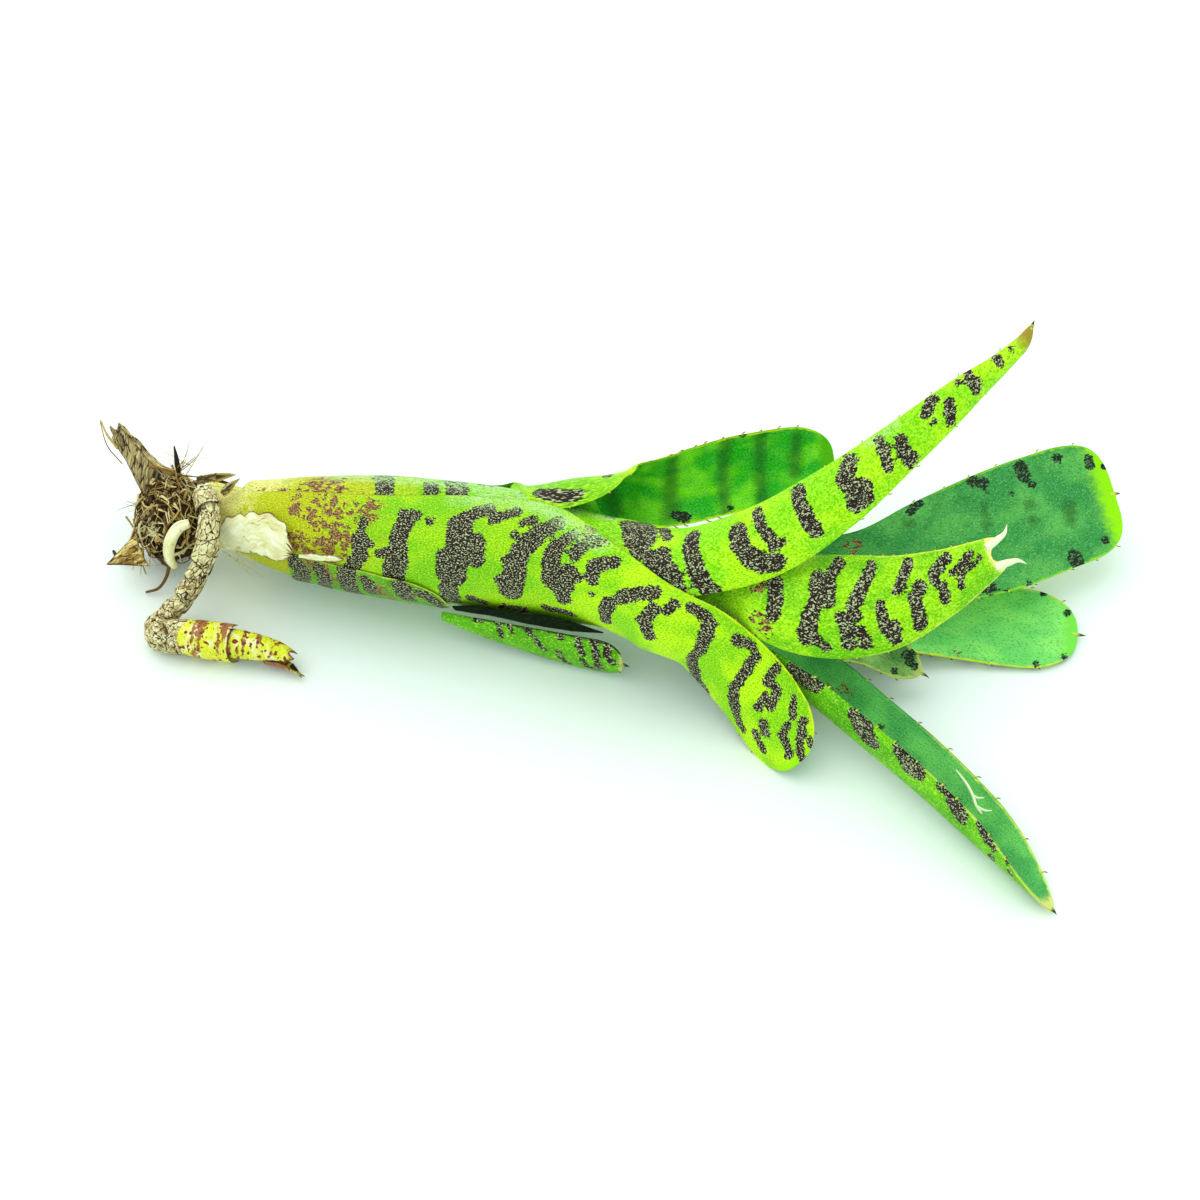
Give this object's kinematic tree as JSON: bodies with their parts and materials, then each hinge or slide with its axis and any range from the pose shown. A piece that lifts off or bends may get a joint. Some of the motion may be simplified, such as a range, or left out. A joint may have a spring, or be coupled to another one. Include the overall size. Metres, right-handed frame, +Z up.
{
  "type": "bromeliad plant",
  "caption": "Bare-root banded bromeliad offset lying on its side: nested strap leaves fanning from a tubular base, with a root ball and a scaly runner that ends in a small pup.",
  "frame": {"origin": "bottom centre of the bounding box, on the surface the plant lies on", "axes": "+Z up, +X along the plant from the root end to the leaf tips, -Y towards the side the young runner comes out on"},
  "size_m": [0.2126, 0.1098, 0.0605],
  "materials": {
    "leaf_green": "waxy, banded, finely scaled",
    "dry_bract": "dry, papery, matte",
    "pup_yellow": "waxy, spotted red-brown",
    "stem_cream": "fibrous, matte",
    "stolon_tan": "dry, scaly, matte",
    "root_brown": "fibrous, matte"
  },
  "bodies": {
    "root": {"back_leaf": "leaf_green", "base_scale": "dry_bract", "bract_strip": "dry_bract", "broad_leaf": "leaf_green", "channel_leaf": "leaf_green", "curved_root": "root_brown", "curved_root_tail": "root_brown", "dark_bract": "dry_bract", "front_leaf": "leaf_green", "ground_leaf": "leaf_green", "inner_leaf": "leaf_green", "old_stolon_stub": "stolon_tan", "papery_bract": "dry_bract", "pup_core": "pup_yellow", "pup_inner_sheath": "pup_yellow", "pup_lower_leaf": "pup_yellow", "pup_outer_sheath": "pup_yellow", "raised_leaf": "leaf_green", "rear_bract": "dry_bract", "root_ball": "root_brown", "short_leaf": "leaf_green", "small_lower_leaf": "leaf_green", "stem": "stem_cream", "stolon": "stolon_tan", "stolon_scale_1": "stolon_tan", "stolon_scale_2": "stolon_tan", "stolon_scale_3": "stolon_tan", "stolon_scale_4": "stolon_tan", "stolon_scale_5": "stolon_tan", "stolon_scale_6": "stolon_tan", "stub_thread": "stolon_tan", "thorn_root": "root_brown", "torn_sheath": "leaf_green", "under_sheath": "leaf_green", "wiry_root_back": "root_brown", "wiry_root_low": "root_brown"}
  },
  "joints": []
}
